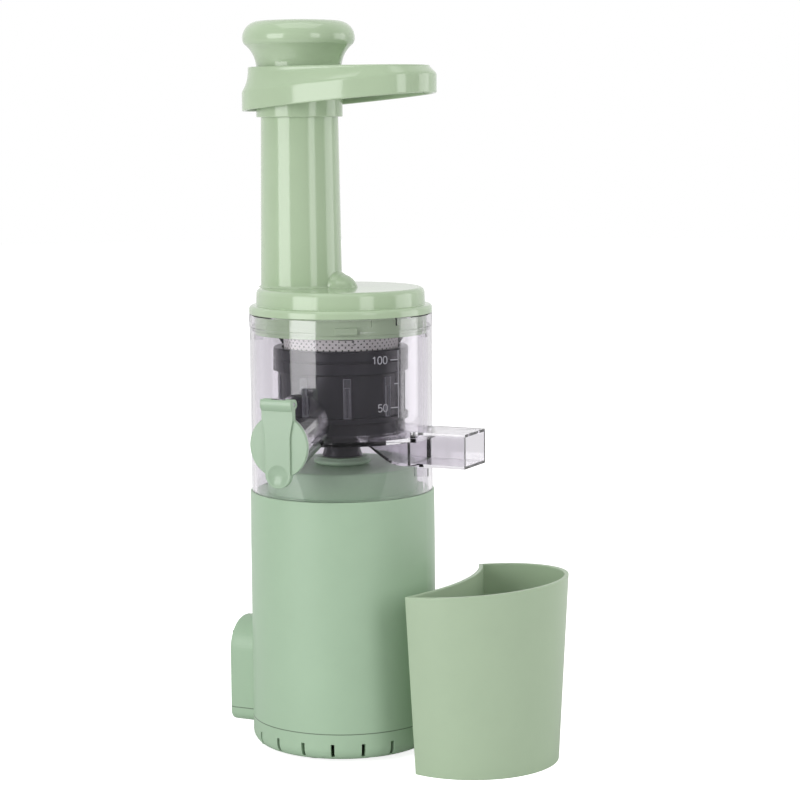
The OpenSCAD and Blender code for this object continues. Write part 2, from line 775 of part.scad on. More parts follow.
module spout_bar(r, behind) {
    difference() {
        translate([0, -spout_y, spout_axis]) rotate([90 + spout_tilt, 0, 0]) translate([0, 0, -behind])
            cylinder(h = behind + 12, r = r);
        translate([-30, -spout_y - 60, spout_axis - 60]) cube([60, 60, 120]);
    }
}

// Side view of the pulp chute, drawn in X and Z, with a curved ramp under the port
module chute_side(wall, end) {
    x0 = port_x0 - port_t + wall;
    x1 = 42;
    low = chute_under + wall;
    top = bowl_floor - floor_t;
    step = wall > 0 ? bowl_r + 1 : bowl_in + 0.5;
    polygon(concat(
        [for (i = [0 : 10]) let (u = i / 10)
            [x0 + (x1 - x0) * u, top + (low - top) * (1 - cos(180 * u)) / 2]],
        [[end, low], [end, chute_over - wall], [step, chute_over - wall], [step, top], [x0, top]]));
}

module chute(wall, end) {
    translate([0, chute_w - wall, 0]) rotate([90, 0, 0]) linear_extrude(2 * (chute_w - wall))
        chute_side(wall, end);
}

chute_t = 1.5;
spout_t = 1.8;
groove_z = bowl_top - 8.8;
groove_h = 4.6;
lug_angle = 60;
twist = 25;
ear_w = 8;
knuckle_r = 2.8;
ledge_n = 4;

module juicing_bowl() {
    color(clear) difference() {
        union() {
            rotate_extrude() polygon([
                [bowl_in, base_top], [bowl_r, base_top], [bowl_r, bowl_top - rim_band],
                [bowl_r + 0.3, bowl_top - rim_band + 0.4], [bowl_r + 0.3, bowl_top - 0.5],
                [bowl_r - 0.2, bowl_top], [bowl_in, bowl_top]]);
            translate([0, 0, bowl_floor - floor_t]) cylinder(h = floor_t, r = bowl_in + 0.5);
            // Rib that centres the brush holder
            translate([0, 0, bowl_floor - eps]) pipe(brush_r + 1.6, brush_r + 0.4, 1.6);
            around_keys() translate([key_in, -key_w / 2, key_z])
                cube([bowl_in - key_in + 0.5, key_w, key_h]);
            for (k = [0 : ledge_n - 1]) sector(30 + k * 360 / ledge_n, 10)
                box_section(flange_r - 1.6, bowl_in + 0.5, flange_z - 3, flange_z);
            difference() {
                spout_bar(spout_r, 34);
                translate([0, 0, spout_axis - 40]) cylinder(h = 80, r = bowl_in);
            }
            chute(0, chute_x);
            translate([port_x0 - port_t, -port_w - port_t, bowl_floor - eps])
                cube([port_x1 - port_x0 + 2 * port_t, 2 * (port_w + port_t), strainer_z - bowl_floor]);
            // Ear of the flap's hinge
            translate([-ear_w / 2, hinge_y, hinge_z]) rotate([0, 90, 0])
                cylinder(h = ear_w, r = knuckle_r, $fn = 48);
            translate([-ear_w / 2, -spout_y, spout_axis + spout_r])
                cube([ear_w, 7, hinge_z - spout_axis - spout_r + 1.2]);
        }
        // Groove and entries of the bayonet
        rotate_extrude() box_section(bowl_in - 1, bowl_in + 1.3, groove_z, groove_z + groove_h);
        for (k = [0 : lug_n - 1]) sector(lug_angle + twist + k * 360 / lug_n, 18)
            box_section(bowl_in - 2, bowl_in + 1.2, groove_z + 1, bowl_top + 1);
        translate([0, 0, bowl_floor - 10]) cylinder(h = 20, r = gland_neck);
        translate([idler_x, 0, bowl_floor - 1.5]) cylinder(h = 10, r = idler_pin_r, $fn = 48);
        difference() {
            spout_bar(spout_r - spout_t, 33);
            translate([0, 0, bowl_floor - 40]) cylinder(h = 40, r = bowl_r + 0.05);
        }
        chute(chute_t, chute_x + 1);
        translate([port_x0, -port_w, bowl_floor - floor_t - 1])
            cube([port_x1 - port_x0, 2 * port_w, 20]);
        translate([-20, hinge_y, hinge_z]) rotate([0, 90, 0])
            cylinder(h = 40, r = flap_pin_r + run_gap, $fn = 48);
    }
}
gland_neck = 9.5;
idler_pin_r = 3;

module bowl_gland() {
    low = collar_z + collar_h + 0.5;
    color(charcoal) rotate_extrude() polygon([
        [stem_r + run_gap, low], [11.5, low], [11, low + 1], [9, bowl_floor - floor_t - 3],
        [gland_neck, bowl_floor - floor_t - 3], [gland_neck, bowl_floor], [11.6, bowl_floor],
        [11.6, bowl_floor + 0.9], [stem_r + run_gap, bowl_floor + 0.9]]);
}

arm_angles = [25, 205];

module strainer_frame() {
    foot = strainer_z + strainer_t;
    color(charcoal) difference() {
        union() {
            translate([0, 0, strainer_z]) pipe(mesh_r1 + mesh_t + 0.6, auger_n / 2 * brush_m + 1.8, strainer_t);
            rotate_extrude() box_section(mesh_r2 - 1.4, flange_r, flange_z, flange_z + flange_t);
            for (k = [0 : rib_n - 1]) sector(k * 360 / rib_n, 3) polygon([
                [mesh_r1 - 1.4, foot - 0.2], [mesh_r1 - 0.03, foot - 0.2], [mesh_r2 - 0.03, flange_z + 0.2],
                [mesh_r2 - 1.4, flange_z + 0.2]]);
            for (a = arm_angles) sector(a, 9) polygon([
                [mesh_r2 + mesh_t, brush_end + 1.6], [mesh_r2 + mesh_t + 0.9, brush_end + 1.6],
                [mesh_r2 + mesh_t + 4.4, flange_z + 0.2], [mesh_r2 + mesh_t + 0.03, flange_z + 0.2]]);
        }
        translate([port_x0, -port_w, strainer_z - 1]) cube([port_x1 - port_x0, 2 * port_w, 10]);
    }
}

module strainer_mesh() {
    z0 = strainer_z + strainer_t;
    color(steel) rotate_extrude() polygon([
        [mesh_r1, z0], [mesh_r1 + mesh_t, z0], [mesh_r2 + mesh_t, flange_z], [mesh_r2, flange_z]]);
}

module idler_pin() {
    color(steel) translate([idler_x, 0, bowl_floor - 1.5])
        cylinder(h = strainer_z - 0.3 - bowl_floor + 1.5, r = idler_pin_r - 0.02, $fn = 48);
}

flight_h = rim_z - 14.4;

module auger() {
    z0 = strainer_z + strainer_t + 0.8;
    z1 = z0 + flight_h;
    color(charcoal) difference() {
        union() {
            translate([0, 0, collar_z + collar_h + 1]) cylinder(h = gear_z - collar_z - collar_h, r = stem_r);
            translate([0, 0, gear_z]) gear(auger_n, brush_m, gear_h, 180, brush_play);
            translate([0, 0, gear_z + gear_h - eps]) cylinder(h = slide_gap + 2 * eps, r = stem_r);
            translate([0, 0, gear_z + gear_h + slide_gap])
                cylinder(h = z0 - gear_z - gear_h - slide_gap + eps, r = auger_n / 2 * brush_m + 1);
            rotate_extrude() polygon([
                [0, z0], [auger_n / 2 * brush_m + 1, z0], [16, z0 + 3], [18.5, z0 + 12], [16.5, z0 + 27],
                [11, z1 - 4], [9, z1 + 1], [6, z1 + 3.5], [0, z1 + 3.5]]);
            translate([0, 0, z0])
                linear_extrude(flight_h, twist = -360 * auger_turns, slices = 44, scale = 0.84, $fn = 20)
                    polygon(concat([[0, 0]], arc(0, 0, auger_r, 0, 46, 6)));
        }
        translate([0, 0, collar_z]) cylinder(h = hex_top - collar_z + 0.6, r = hex_r + 0.15, $fn = 6);
        translate([0, 0, z1 - 6]) cylinder(h = 20, r = top_pin_r, $fn = 48);
    }
}

module auger_pin() {
    z0 = strainer_z + strainer_t + flight_h - 5.2;
    color(steel) translate([0, 0, z0]) cylinder(h = lid_face + 2.8 - z0, r = top_pin_r - 0.01, $fn = 48);
}

module brush_idler() {
    color("#d7d7d2") translate([idler_x, 0, gear_z]) difference() {
        gear(idler_n, brush_m, gear_h, 180 / idler_n, brush_play);
        translate([0, 0, -1]) cylinder(h = 10, r = idler_pin_r + run_gap, $fn = 48);
    }
}

wiper_angle = -58.4;
wiper_z0 = bowl_floor + 10.5;
wiper_h = brush_top - 25.5;
brush_t = 1.8;

module brush_holder() {
    z0 = bowl_floor + 0.4;
    wall_z = gear_z + gear_h + 0.3;
    color(charcoal) difference() {
        rotate_extrude() polygon([
            [20, z0], [brush_r, z0], [brush_r, wall_z + 1.6], [brush_ring_r, wall_z + 2.2],
            [brush_ring_r, wall_z + 4.6], [brush_r, wall_z + 5.4], [brush_r, brush_end - 13.6],
            [brush_ring_r, brush_end - 12.8], [brush_ring_r, brush_end - 7], [brush_ring_r - 0.7, brush_end - 6.6],
            [brush_ring_r - 0.7, brush_end - 6], [brush_ring_r, brush_end - 5.6], [brush_ring_r, brush_end - 0.6],
            [brush_ring_r - 0.6, brush_end], [brush_r - brush_t, brush_end], [brush_r - brush_t, wall_z],
            [20, wall_z]]);
        translate([0, 0, z0 - 1]) ring_cutter(ring_n, brush_m, 10, 180 + 180 / ring_n, brush_play);
        for (k = [0 : wiper_n - 1]) rotate([0, 0, wiper_angle + k * 360 / wiper_n])
            translate([brush_r - 4, -wiper_w / 2, wiper_z0]) cube([6, wiper_w, wiper_h]);
    }
}

module brush_wipers() {
    color("#c9cccb") for (k = [0 : wiper_n - 1]) rotate([0, 0, wiper_angle + k * 360 / wiper_n]) {
        translate([mesh_r1 + 2.2, -0.7, wiper_z0 + 0.4]) cube([brush_r - mesh_r1 - 2.2, 1.4, wiper_h - 0.8]);
        difference() {
            translate([brush_r - brush_t - 0.6, -wiper_w / 2 + 0.02, wiper_z0 + 0.02])
                cube([brush_t + 1, wiper_w - 0.04, wiper_h - 0.04]);
            translate([brush_r - 0.2, -wiper_w / 2 + 0.8, wiper_z0 + 1]) cube([2, wiper_w - 1.6, wiper_h - 6]);
        }
    }
}

dome_r = 9.7;
dome_h = 7.5;
dome_shift = 3.2;

// A round cap on the lid, with a small flat at its pole
module dome(r, h) {
    cap_r = (r * r + h * h) / 2 / h;
    low = asin((cap_r - h) / cap_r);
    translate([0, 0, lid_face - 0.2]) rotate_extrude() polygon(concat(
        [[0, -1], [r, -1]], arc(0, h - cap_r, cap_r, low, 84, 14), [[0, h - cap_r * (1 - sin(84))]]));
}

module lid() {
    skirt_r = bowl_in - 0.4;
    skirt_z = bowl_top - skirt_d;
    color(sage) difference() {
        union() {
            rotate_extrude() polygon(concat(
                [[0, lid_face]],
                arc(lid_r - 3, lid_face - 3, 3, 90, 0, 8),
                [[lid_r + 0.2, bowl_top + 4.8]],
                arc(bowl_r + 0.2 - 1.8, bowl_top + 2.8, 1.8, 90, 0, 6),
                [[bowl_r + 0.2, bowl_top + 0.2], [skirt_r, bowl_top + 0.2], [skirt_r, skirt_z],
                 [skirt_r - 2.2, skirt_z], [skirt_r - 2.4, bowl_top + 2], [lid_r - 2.8, bowl_top + 4],
                 [lid_r - 3, lid_face - 3.4], [lid_r - 4.4, lid_face - 2.4], [0, lid_face - 2.4]]));
            for (k = [0 : lug_n - 1]) sector(lug_angle + k * 360 / lug_n, 14)
                box_section(skirt_r - 1, bowl_in + 0.9, groove_z + 0.4, groove_z + groove_h - 0.4);
            translate([-tube_x, 0, lid_face - 2.4])
                cylinder(h = tube_end - lid_face + 2.4, r1 = tube_r1, r2 = tube_r2);
            // Fillet where the tube stands on the lid
            translate([-tube_x, 0, lid_face - eps]) rotate_extrude() difference() {
                translate([tube_r1 - 2, 0]) square([3.4, 1.6]);
                translate([tube_r1 + 1.6, 1.7]) circle(r = 1.7, $fn = 32);
            }
            dome(dome_r, dome_h);
            translate([-dome_shift, 0, 0]) dome(dome_r - 0.5, dome_r - 0.5);
            translate([0, 0, lid_face - 9]) cylinder(h = 8, r = 6.6);
        }
        translate([-tube_x, 0, lid_face - 40]) cylinder(h = 160, r = tube_bore);
        translate([0, 0, lid_face - 10]) cylinder(h = 13.2, r = bush_r);
    }
}
bush_r = 4.6;

module lid_bush() {
    color("#e9e6da") translate([0, 0, lid_face - 9]) pipe(bush_r - 0.02, top_pin_r + run_gap, 12);
}

// An oval with round ends, and long sides that curve a little
module oval(half_l, half_w, r) {
    e = half_l - r;
    belly = half_w - r;
    c = (e * e - belly * belly) / 2 / belly;
    side_r = half_w + c;
    for (s = [-1, 1]) translate([s * e, 0]) circle(r = r);
    intersection() {
        translate([0, -c]) circle(r = side_r, $fn = 240);
        translate([0, c]) circle(r = side_r, $fn = 240);
        square([2 * e * side_r / (side_r - r), 3 * half_w], center = true);
    }
}

module tray_outline(inset) {
    oval(tube_x + tray_r - inset, tray_w - inset, tray_end - inset);
}

// The rim's round ends lie round the pusher's neck
module rim_outline(inset) {
    oval(tube_x + tray_r - rim_in + rim_longer - inset, tray_w - rim_in - inset, rim_end - inset);
}

// A slab parallel to the tray's sloping band
module slope(z, h) {
    translate([0, 0, z]) rotate([0, -tray_tilt, 0]) translate([-90, -60, 0]) cube([180, 120, h]);
}

band_z = tube_end - 0.2;
rim_in = 4.8;
rim_longer = 0.8;
rim_end = neck_r + slide_gap + tray_t + 1.4;
tray_floor = 2;
hollow_h = 3.4;
shoulder_z = tube_end + 1.6;
sleeve_r = 24;
sleeve_z = tube_end - 8.1;

module sleeve() {
    translate([-tube_x, 0, sleeve_z]) cylinder(h = shoulder_z - sleeve_z, r = sleeve_r);
}

module hopper_tray() {
    color(sage) difference() {
        union() {
            hull() {
                translate([0, 0, tray_rim - 1]) linear_extrude(1) rim_outline(0);
                intersection() {
                    linear_extrude(500) tray_outline(0);
                    slope(band_z, tray_band);
                }
            }
            sleeve();
        }
        // Dish
        difference() {
            intersection() {
                linear_extrude(500) rim_outline(tray_t);
                slope(band_z + hollow_h + tray_floor, 60);
            }
            sleeve();
        }
        // Hollow under the dish, open from below
        difference() {
            intersection() {
                linear_extrude(500) tray_outline(tray_t);
                slope(band_z - 30, 30 + hollow_h);
            }
            sleeve();
        }
        // Hollow behind the band
        intersection() {
            linear_extrude(500) difference() {
                tray_outline(tray_t);
                rim_outline(-0.2);
            }
            slope(band_z - 30, 30 + tray_band - tray_t);
        }
        translate([-tube_x, 0, sleeve_z - 1])
            cylinder(h = tube_end - sleeve_z + 1, r = tube_r2 + slide_gap + 0.2);
        translate([-tube_x, 0, sleeve_z - 1]) cylinder(h = 60, r = tube_bore + 0.1);
        translate([-tube_x, 0, shoulder_z]) cylinder(h = 40, r = neck_r + slide_gap);
    }
}

neck_z = tray_rim - 0.5;
flare_r = 16;
flare_a = 53.5;
lip_r = neck_r + flare_r * (1 - cos(flare_a));
lip_z = neck_z + flare_r * sin(flare_a);
pusher_t = 2.2;
plunger_r = tube_bore - slide_gap;
plunger_z = lid_face - 4.5;

module pusher_stem() {
    flare_in = asin(flare_r * sin(flare_a) / (flare_r + pusher_t));
    color(sage) translate([-tube_x, 0, 0]) rotate_extrude() polygon(concat(
        [[0, plunger_z], [plunger_r - 1.2, plunger_z], [plunger_r, plunger_z + 1.2], [plunger_r, shoulder_z],
         [neck_r, shoulder_z]],
        arc(neck_r + flare_r, neck_z, flare_r, 180, 180 - flare_a, 10),
        arc(neck_r + flare_r, neck_z, flare_r + pusher_t, 180 - flare_in, 180, 8),
        [[neck_r - pusher_t, shoulder_z + 2.4], [plunger_r - pusher_t, shoulder_z + 1],
         [plunger_r - pusher_t, plunger_z + 2.6], [0, plunger_z + 2.6]]));
}

knob_bulge = 9.5;
knob_under = 5.5;

module pusher_knob() {
    waist_z = knob_end - 0.4 - knob_bulge;
    color(sage) translate([-tube_x, 0, 0]) rotate_extrude() polygon(concat(
        [[lip_r - 2, lip_z], [lip_r, lip_z]],
        arc(knob_r - knob_under, waist_z, knob_under, -32, 0, 4),
        arc(knob_r - knob_bulge, waist_z, knob_bulge, 4, 88, 14),
        [[knob_r / 2 - 1, knob_end], [0, knob_end], [0, knob_end - 2.6], [knob_r - 13, knob_end - 2.6],
         [knob_r - 4.8, knob_end - 5.3], [knob_r - 3, knob_end - 8.5], [lip_r - 2, lip_z + 2.4]]));
}

strap_h = 1.2;
hinge_w = 18.6;
cover_reach = 126;
scoop_r = 12;
scoop_depth = 1.6;

// A plate of the flap, drawn in X and Z, with its back at the seal
module flap_plate(back, thick) {
    translate([0, -back, 0]) rotate([90, 0, 0]) linear_extrude(thick) children();
}

module on_hinge(w) {
    translate([-w / 2, hinge_y, hinge_z]) rotate([0, 90, 0]) children();
}

module juice_flap() {
    back = spout_y + seal_t + 0.1;
    face = back + flap_t + strap_h;
    low = hinge_z - strap_l;
    color(sage_light) difference() {
        union() {
            flap_plate(back, flap_t) translate([0, spout_axis]) circle(r = flap_r);
            flap_plate(back - 2.4, 2.5) translate([0, spout_axis + 0.3]) circle(r = 13.6);
            flap_plate(back, flap_t + strap_h) {
                translate([0, low + strap_w / 2]) circle(r = strap_w / 2);
                polygon([
                    [-strap_w / 2, low + strap_w / 2], [strap_w / 2, low + strap_w / 2],
                    [strap_w / 2, hinge_z - 17], [hinge_w / 2, hinge_z - 8], [hinge_w / 2, hinge_z],
                    [-hinge_w / 2, hinge_z], [-hinge_w / 2, hinge_z - 8], [-strap_w / 2, hinge_z - 17]]);
            }
            on_hinge(hinge_w - 0.4) cylinder(h = hinge_w - 0.4, r = knuckle_r, $fn = 48);
            // Cover in front of the hinge
            on_hinge(hinge_w - 0.2) sector(-cover_reach / 2, cover_reach)
                box_section(knuckle_r - 0.2, knuckle_r + 1.8, 0, hinge_w - 0.2);
        }
        on_hinge(ear_w + 2 * slide_gap)
            cylinder(h = ear_w + 2 * slide_gap, r = knuckle_r + slide_gap, $fn = 48);
        translate([-ear_w / 2 - slide_gap, hinge_y, spout_axis + flap_r + 0.8])
            cube([ear_w + 2 * slide_gap, 20, 20]);
        on_hinge(40) cylinder(h = 40, r = flap_pin_r, $fn = 48);
        flap_plate(back - 4, 4.2) translate([0, spout_axis + 0.3]) circle(r = 12);
        // Scoop for a finger
        translate([0, -face - scoop_r + scoop_depth, low + 6.5]) sphere(r = scoop_r);
    }
}

module flap_seal() {
    color("#cfd6d0") translate([0, -spout_y - 0.1, spout_axis]) rotate([90, 0, 0]) pipe(16.8, 14, seal_t);
}

module flap_pin() {
    color(steel) translate([-8.8, hinge_y, hinge_z]) rotate([0, 90, 0])
        cylinder(h = 17.6, r = flap_pin_r - 0.01, $fn = 48);
}

// A crescent between an outer arc and a concave side, both tapering with the height
module crescent(inset, z0) {
    grow = (cont_r2 - cont_r1) / cont_h;
    h = cont_h + 14 - z0;
    side = cont_gap - cont_concave_r + inset;
    difference() {
        translate([cont_x, 0, z0])
            cylinder(h = h, r1 = cont_r1 + grow * z0 - inset, r2 = cont_r1 + grow * (z0 + h) - inset,
                $fn = 160);
        translate([side, 0, z0 - 1])
            cylinder(h = h + 2, r1 = cont_concave_r + 2, r2 = cont_concave_r, $fn = 160);
    }
}

module pulp_container() {
    color(sage) difference() {
        crescent(0, 0);
        crescent(cont_t, cont_t);
        translate([cont_x - 9, 0, cont_h]) rotate([0, -cont_slope, 0])
            translate([-90, -90, 0]) cube([180, 180, 60]);
    }
}

upper_housing();
bottom_cover();
rubber_feet();
cover_screws();
drive_collar();
drive_seal();
gearbox_case();
gearbox_cover();
gearbox_screws();
mount_screws();
motor_screws();
layshaft_pin();
output_bearing();
motor_can();
motor_cap();
motor_magnets();
motor_bearings();
motor_carbons();
control_board();
switch_frame();
cord_gland();
rocker_switch();
motor_shaft();
armature();
commutator();
motor_pinion();
first_gear();
output_gear();
drive_shaft();
juicing_bowl();
bowl_gland();
strainer_frame();
strainer_mesh();
idler_pin();
auger();
auger_pin();
brush_idler();
brush_holder();
brush_wipers();
lid();
lid_bush();
hopper_tray();
pusher_stem();
pusher_knob();
juice_flap();
flap_seal();
flap_pin();
pulp_container();
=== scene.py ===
"""The looks of an upright slow juicer: motor base, clear juicing bowl with its strainer and auger, lid with
feed tube, hopper tray, pusher, spout flap and crescent pulp container. The file follows the juicer as it is
put together, from the table up, one section for each piece or group of like pieces."""

import math

import bpy
import numpy as np
from mathutils import Matrix, Vector


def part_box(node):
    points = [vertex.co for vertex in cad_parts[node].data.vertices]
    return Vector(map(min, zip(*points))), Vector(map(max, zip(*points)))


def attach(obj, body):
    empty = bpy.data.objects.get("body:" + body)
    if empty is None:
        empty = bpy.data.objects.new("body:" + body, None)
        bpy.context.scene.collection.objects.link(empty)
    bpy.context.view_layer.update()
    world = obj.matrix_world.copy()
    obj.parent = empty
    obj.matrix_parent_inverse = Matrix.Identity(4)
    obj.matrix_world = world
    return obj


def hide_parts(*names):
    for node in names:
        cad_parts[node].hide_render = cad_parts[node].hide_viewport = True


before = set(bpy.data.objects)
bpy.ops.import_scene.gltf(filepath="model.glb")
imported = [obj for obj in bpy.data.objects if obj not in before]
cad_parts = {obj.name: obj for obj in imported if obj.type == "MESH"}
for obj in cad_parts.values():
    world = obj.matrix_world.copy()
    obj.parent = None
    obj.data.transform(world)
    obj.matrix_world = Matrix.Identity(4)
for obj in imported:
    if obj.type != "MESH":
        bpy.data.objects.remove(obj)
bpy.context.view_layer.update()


# The camera. A long lens a little below the hopper tray, looking slightly down at the spout and the chute
# from the front right, with the juicer left of the middle and the container beside it.
view_azimuth, view_pitch, view_roll = math.radians(25.3), math.radians(7.07), math.radians(-0.44)
camera_place = Vector((0.5748, -1.1397, 0.3532))
level_ahead = Vector((-math.sin(view_azimuth), math.cos(view_azimuth), 0))
ahead = level_ahead * math.cos(view_pitch) - Vector((0, 0, math.sin(view_pitch)))
right = Vector((math.cos(view_azimuth), math.sin(view_azimuth), 0))
turned = Matrix((right, right.cross(ahead), -ahead)).transposed() @ Matrix.Rotation(view_roll, 3, "Z")
lens = bpy.data.cameras.new("camera")
lens.lens, lens.sensor_width = 103.5, 36
camera = bpy.data.objects.new("camera", lens)
camera.matrix_world = Matrix.Translation(camera_place) @ turned.to_4x4()
bpy.context.collection.objects.link(camera)
bpy.context.scene.camera = camera
bpy.context.scene.view_settings.view_transform = "Standard"


# The floor and the lamps. A white table top runs out to a white backdrop and ends before the dark studio on
# the camera's side. Soft boxes on the left and right draw upright bands of light on the glossy tube and lid,
# one at the back right draws the edges, and one hangs above.
def shader_node(tree, kind, *values, **settings):
    """Adds one shader node. A setting goes to the property of its name, or else to the input of that name,
    and the values go to the inputs in order. A value that is a socket is linked."""
    node = tree.nodes.new("ShaderNode" + kind)
    sockets = list(zip(node.inputs, values))
    for name, value in settings.items():
        if hasattr(node, name):
            setattr(node, name, value)
        else:
            sockets.append((node.inputs[name.replace("_", " ")], value))
    for socket, value in sockets:
        if isinstance(value, bpy.types.NodeSocket):
            tree.links.new(value, socket)
        else:
            socket.default_value = value
    return node


def worked(tree, operation, *values):
    """The result of one step of arithmetic on sockets or numbers."""
    return shader_node(tree, "Math", *values, operation=operation).outputs[0]


def along(tree, vector, direction):
    """The dot product of two vectors."""
    return shader_node(tree, "VectorMath", vector, direction, operation="DOT_PRODUCT").outputs["Value"]


def ranged(tree, value, low, high, from_low=0.0, from_high=1.0):
    """A value's range brought to low and high, and held there beyond it."""
    return shader_node(tree, "MapRange", value, from_low, from_high, low, high).outputs[0]


world = bpy.data.worlds.new("studio")
world.use_nodes = True
bpy.context.scene.world = world
tree = world.node_tree
path = shader_node(tree, "LightPath").outputs
backdrop_side = along(tree, shader_node(tree, "TexCoord").outputs["Generated"], level_ahead)

# The studio gives this much soft light all round. It is white to the camera, and grows darker towards the
# camera's side in what the pieces mirror and refract.
strength = 0.43
for ray, dark_side in (("Is Glossy Ray", 0.16), ("Is Transmission Ray", 0.28), ("Is Camera Ray", 1.0)):
    seen = ranged(tree, backdrop_side, dark_side, 1.0, -0.15, 0.55)
    strength = ranged(tree, path[ray], strength, seen)
tree.links.new(strength, tree.nodes["Background"].inputs["Strength"])
tree.nodes["Background"].inputs["Color"].default_value = (1, 1, 1, 1)

table_radius, table_set_back = 3.0, 2.3
ring = np.linspace(0, 2 * np.pi, 96, endpoint=False)
table_middle = table_set_back * np.array(level_ahead)
rim = table_radius * np.stack([np.cos(ring), np.sin(ring), 0 * ring], 1) + table_middle
table_mesh = bpy.data.meshes.new("table_top")
table_mesh.from_pydata(rim.tolist(), [], [list(range(len(ring)))])
table = bpy.data.objects.new("table_top", table_mesh)
bpy.context.collection.objects.link(table)
paint = bpy.data.materials.new("white_table")
paint.use_nodes = True
tree = paint.node_tree
tree.nodes.clear()

# The table's paint is lifted to white for the camera. Behind the juicer it is also lifted for what the pieces
# mirror and refract, growing over lift_depth metres. It lights nothing by itself.
camera_lift, behind_lift, lift_depth = 0.85, 0.52, 0.5
path = shader_node(tree, "LightPath").outputs
depth = along(tree, shader_node(tree, "TexCoord").outputs["Object"], level_ahead)
mirrored_or_refracted = worked(tree, "MAXIMUM", path["Is Glossy Ray"], path["Is Transmission Ray"])
behind = ranged(tree, depth, 0.0, behind_lift, 0.0, lift_depth)
in_pieces = worked(tree, "MULTIPLY", mirrored_or_refracted, behind)
to_camera = worked(tree, "MULTIPLY", path["Is Camera Ray"], camera_lift)
glow = shader_node(tree, "Emission", Strength=worked(tree, "MAXIMUM", to_camera, in_pieces))
matt = shader_node(tree, "BsdfDiffuse", Color=(0.80, 0.80, 0.80, 1))
both = shader_node(tree, "AddShader", matt.outputs[0], glow.outputs[0])
shader_node(tree, "OutputMaterial", both.outputs[0])
table_mesh.materials.append(paint)


def soft_box(name, azimuth, height, distance, width, tall, radiance):
    """One rectangular lamp, facing the juicer's axis from an azimuth in degrees (0 looks along +Y, 90 along
    -X). Its power is radiance times pi times its area."""
    lamp = bpy.data.lights.new(name, "AREA")
    lamp.shape, lamp.size, lamp.size_y = "RECTANGLE", width, tall
    lamp.energy = radiance * math.pi * width * tall
    box = bpy.data.objects.new(name, lamp)
    angle = math.radians(azimuth)
    place = Vector((math.sin(angle) * distance, -math.cos(angle) * distance, height))
    middle = Vector((0, 0, 0.30))
    facing = (middle - place).to_track_quat("-Z", "Y").to_matrix().to_4x4()
    box.matrix_world = Matrix.Translation(place) @ facing
    bpy.context.collection.objects.link(box)


soft_box("soft_box_left", -22, height=0.42, distance=1.25, width=0.80, tall=0.85, radiance=3.6)
soft_box("soft_box_right", 62, height=0.56, distance=1.35, width=0.46, tall=0.80, radiance=2.7)
soft_box("soft_box_back_right", 122, height=0.40, distance=1.40, width=0.80, tall=0.90, radiance=1.9)
soft_box("soft_box_above", 25, height=1.55, distance=0.20, width=1.20, tall=1.00, radiance=1.5)


# The motor base. The housing and its bottom cover are injection moulded in ABS in a pale sage green and
# left satin by a fine spark-eroded mould; the drive collar is moulded in the same green.
def node_group(name, inputs, outputs):
    """A new node group with sockets of the given names and kinds, and its input and output nodes."""
    group = bpy.data.node_groups.new(name, "ShaderNodeTree")
    for in_out, sockets in (("INPUT", inputs), ("OUTPUT", outputs)):
        for socket, kind in sockets.items():
            group.interface.new_socket(socket, in_out=in_out, socket_type="NodeSocket" + kind)
    return group, group.nodes.new("NodeGroupInput").outputs, group.nodes.new("NodeGroupOutput").inputs


def moulded_skin():
    """A node group for moulded plastic in object space. Height, in metres, is a fine grain, its depth times a
    noise of its size, plus the slow waves that sinking leaves, their depth times a noise 55 mm long. Tone
    runs from 0 to 1 over patches 30 mm wide, broken up by finer ones. Normal is rounded over sharp edges
    within the edge radius, and Edge runs from 0 to 1 as the rounded and the true normal part."""
    group, given, result = node_group(
        "moulded_skin",
        {"Grain Size": "Float", "Grain Depth": "Float", "Wave Depth": "Float", "Edge Radius": "Float"},
        {"Height": "Float", "Tone": "Float", "Edge": "Float", "Normal": "Vector"},
    )
    place = shader_node(group, "TexCoord").outputs["Object"]
    grain_scale = worked(group, "DIVIDE", 1.0, given["Grain Size"])
    grain = shader_node(group, "TexNoise", Vector=place, Scale=grain_scale, Detail=2.0, Roughness=0.6)
    wave = shader_node(group, "TexNoise", Vector=place, Scale=18.0, Detail=1.0)
    patch = shader_node(group, "TexNoise", Vector=place, Scale=33.0, Detail=5.0, Roughness=0.65)
    fine = worked(group, "MULTIPLY", grain.outputs["Fac"], given["Grain Depth"])
    height = worked(group, "MULTIPLY_ADD", wave.outputs["Fac"], given["Wave Depth"], fine)
    tone = ranged(group, patch.outputs["Fac"], 0.0, 1.0, 0.3, 0.7)
    rounded = shader_node(group, "Bevel", samples=6, Radius=given["Edge Radius"]).outputs[0]
    together = along(group, rounded, shader_node(group, "NewGeometry").outputs["Normal"])
    edge = ranged(group, together, 0.0, 1.0, 0.99, 0.78)
    for name, value in (("Height", height), ("Tone", tone), ("Edge", edge), ("Normal", rounded)):
        group.links.new(value, result[name])
    return group


skin_group = moulded_skin()


def new_material(name):
    """A new material, with its node tree and its Principled shader."""
    material = bpy.data.materials.new(name)
    material.use_nodes = True
    return material, material.node_tree, material.node_tree.nodes["Principled BSDF"]


def scaled(tree, colour, factor):
    """A colour times a factor."""
    return shader_node(tree, "VectorMath", colour, operation="SCALE", Scale=factor).outputs[0]


